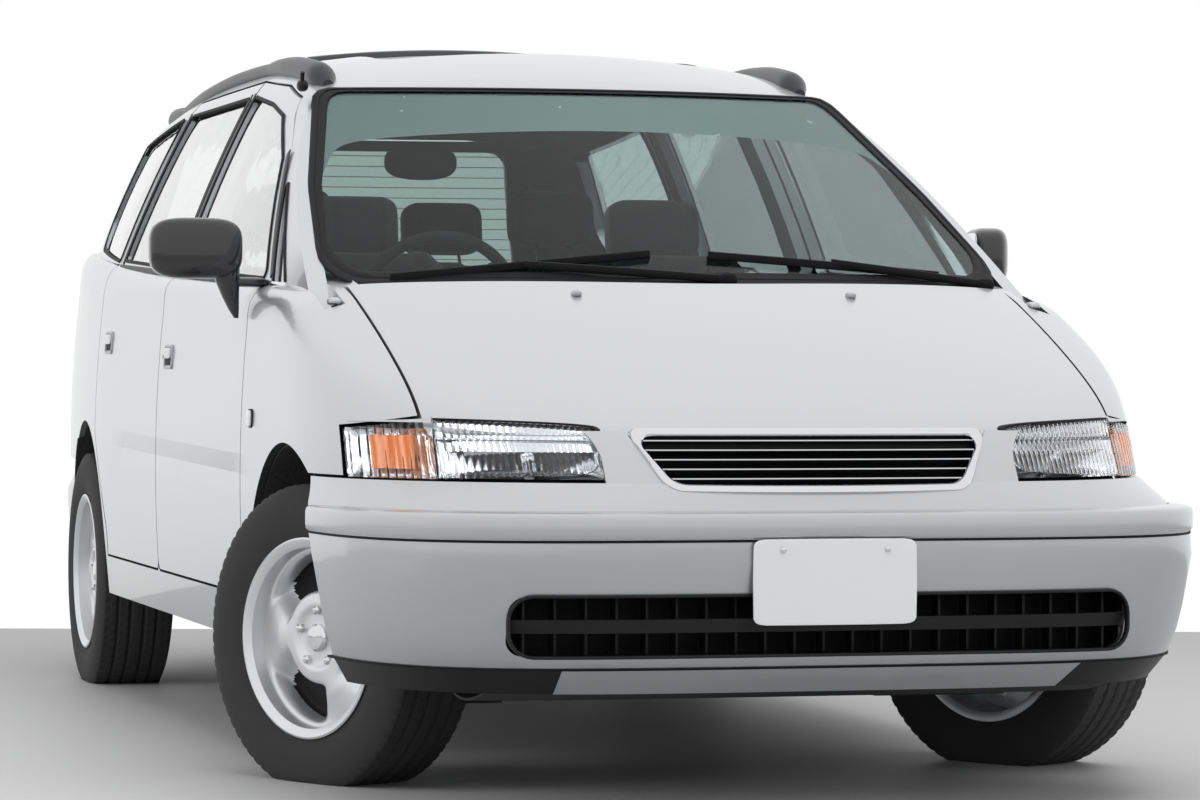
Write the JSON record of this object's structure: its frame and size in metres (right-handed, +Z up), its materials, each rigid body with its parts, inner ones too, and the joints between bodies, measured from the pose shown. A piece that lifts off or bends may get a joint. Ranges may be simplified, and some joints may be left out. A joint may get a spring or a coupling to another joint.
{
  "type": "minivan",
  "caption": "People carrier with hinged doors, hood and tailgate, steered front wheels, an open sliding roof, roof rails and rows of seats",
  "frame": {"origin": "on the ground, in the middle plane of the body and halfway along the body's overall length", "axes": "+X to the vehicle's left, -Y forward, +Z up"},
  "size_m": [2.0851, 4.8424, 1.6825],
  "materials": {
    "paint": "metallic silver, gloss",
    "underbody": "satin black",
    "chrome_trim": "polished",
    "lens_clear": "clear",
    "lens_red": "red",
    "glass_green": "green tinted",
    "black_trim": "grained",
    "cabin_plastic": "grained",
    "cabin_fabric": "woven",
    "cast_metal": "rough",
    "tyre_rubber": "matt",
    "wheel_alloy": "satin"
  },
  "bodies": {
    "body": {"body_shell": "paint", "floor_pan": "underbody", "fender_left": "paint", "fender_right": "paint", "front_bumper": "paint", "rear_bumper": "paint", "grille": "chrome_trim", "headlamps": "lens_clear", "tail_lamps": "lens_red", "windscreen": "glass_green", "quarter_glass": "glass_green", "roof_rails": "black_trim", "sunroof_glass": "glass_green", "cowl_panel": "black_trim", "dashboard": "cabin_plastic", "front_seats": "cabin_fabric", "rear_seats": "cabin_fabric", "engine_block": "cast_metal", "front_frame": "underbody", "rear_axle": "underbody", "fuel_tank": "underbody"},
    "hood": {"hood": "paint"},
    "tailgate": {"tailgate": "paint", "tailgate_glass": "glass_green"},
    "door_front_left": {"door_front_left": "paint", "door_glass_front_left": "glass_green", "mirror_left": "black_trim"},
    "door_front_right": {"door_front_right": "paint", "door_glass_front_right": "glass_green", "mirror_right": "black_trim"},
    "door_rear_left": {"door_rear_left": "paint", "door_glass_rear_left": "glass_green"},
    "door_rear_right": {"door_rear_right": "paint", "door_glass_rear_right": "glass_green"},
    "knuckle_left": {"knuckle_left": "cast_metal"},
    "knuckle_right": {"knuckle_right": "cast_metal"},
    "wheel_front_left": {"tyre_front_left": "tyre_rubber", "rim_front_left": "wheel_alloy"},
    "wheel_front_right": {"tyre_front_right": "tyre_rubber", "rim_front_right": "wheel_alloy"},
    "wheel_rear_left": {"tyre_rear_left": "tyre_rubber", "rim_rear_left": "wheel_alloy"},
    "wheel_rear_right": {"tyre_rear_right": "tyre_rubber", "rim_rear_right": "wheel_alloy"},
    "steering_wheel": {"steering_wheel": "cabin_plastic"}
  },
  "joints": [
    {"name": "hood_hinge", "type": "hinge", "parent": "body", "child": "hood", "pos_m": [0, -1.3975, 1.04], "axis": [-1, 0, 0], "range_deg": [0, 45]},
    {"name": "tailgate_hinge", "type": "hinge", "parent": "body", "child": "tailgate", "pos_m": [0, 2.1275, 1.521], "axis": [1, 0, 0], "range_deg": [0, 75]},
    {"name": "front_left_door_hinge", "type": "hinge", "parent": "body", "child": "door_front_left", "pos_m": [0.889, -0.9715, 0.7], "axis": [0, 0, -1], "range_deg": [0, 65]},
    {"name": "front_right_door_hinge", "type": "hinge", "parent": "body", "child": "door_front_right", "pos_m": [-0.889, -0.9715, 0.7], "axis": [0, 0, 1], "range_deg": [0, 65]},
    {"name": "rear_left_door_hinge", "type": "hinge", "parent": "body", "child": "door_rear_left", "pos_m": [0.889, 0.1655, 0.7], "axis": [0, 0, -1], "range_deg": [0, 65]},
    {"name": "rear_right_door_hinge", "type": "hinge", "parent": "body", "child": "door_rear_right", "pos_m": [-0.889, 0.1655, 0.7], "axis": [0, 0, 1], "range_deg": [0, 65]},
    {"name": "steer_left", "type": "hinge", "parent": "body", "child": "knuckle_left", "pos_m": [0.6865, -1.4175, 0.3], "axis": [0, 0, 1], "range_deg": [-62, 2]},
    {"name": "steer_right", "type": "hinge", "parent": "body", "child": "knuckle_right", "pos_m": [-0.6865, -1.4175, 0.3], "axis": [0, 0, 1], "range_deg": [-62, 2]},
    {"name": "spin_front_left", "type": "hinge", "parent": "knuckle_left", "child": "wheel_front_left", "pos_m": [0.75943, -1.37193, 0.3], "axis": [0.848, 0.5299, 0], "continuous": true},
    {"name": "spin_front_right", "type": "hinge", "parent": "knuckle_right", "child": "wheel_front_right", "pos_m": [-0.76243, -1.45787, 0.3], "axis": [0.8829, 0.4695, 0], "continuous": true},
    {"name": "spin_rear_left", "type": "hinge", "parent": "body", "child": "wheel_rear_left", "pos_m": [0.78, 1.4125, 0.3], "axis": [1, 0, 0], "continuous": true},
    {"name": "spin_rear_right", "type": "hinge", "parent": "body", "child": "wheel_rear_right", "pos_m": [-0.78, 1.4125, 0.3], "axis": [1, 0, 0], "continuous": true},
    {"name": "steering_wheel_turn", "type": "hinge", "parent": "body", "child": "steering_wheel", "pos_m": [-0.39, -0.7125, 0.985], "axis": [0, 0.9135, 0.4067], "range_deg": [-1116, 36]}
  ],
  "couplings": [
    {"joint": "steer_right", "follows": "steer_left", "ratio": 1},
    {"joint": "steering_wheel_turn", "follows": "steer_left", "ratio": 18}
  ]
}
